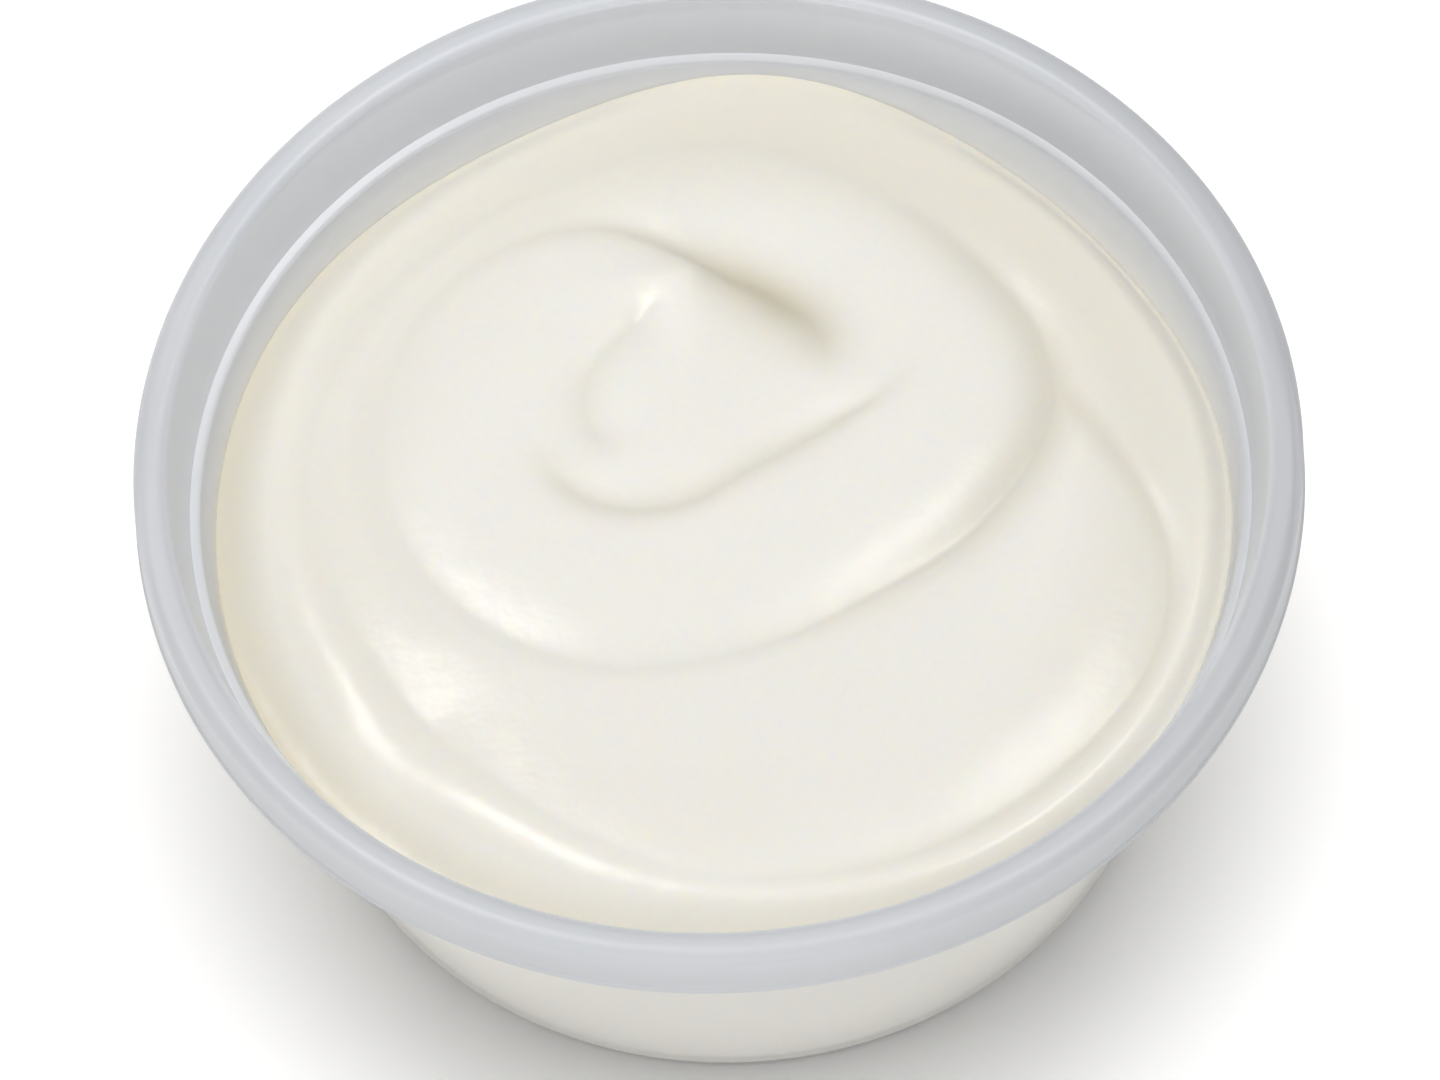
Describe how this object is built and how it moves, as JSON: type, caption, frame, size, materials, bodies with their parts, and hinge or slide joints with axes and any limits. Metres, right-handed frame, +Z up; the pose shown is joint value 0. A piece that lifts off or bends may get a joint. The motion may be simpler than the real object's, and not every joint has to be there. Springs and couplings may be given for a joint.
{
  "type": "sauce cup",
  "caption": "Translucent plastic portion cup with a flanged rim, filled with swirled off-white cream sauce.",
  "frame": {"origin": "middle of the cup's underside, on the surface that it stands on", "axes": "+Z up along the cup's axis, -Y towards the front that the picture shows"},
  "size_m": [0.075, 0.075, 0.0315],
  "materials": {
    "cup": "smooth translucent polypropylene with a satin gloss",
    "sauce": "smooth off-white cream sauce, softly glossy"
  },
  "bodies": {
    "root": {"cup": "cup", "sauce": "sauce"}
  },
  "joints": []
}
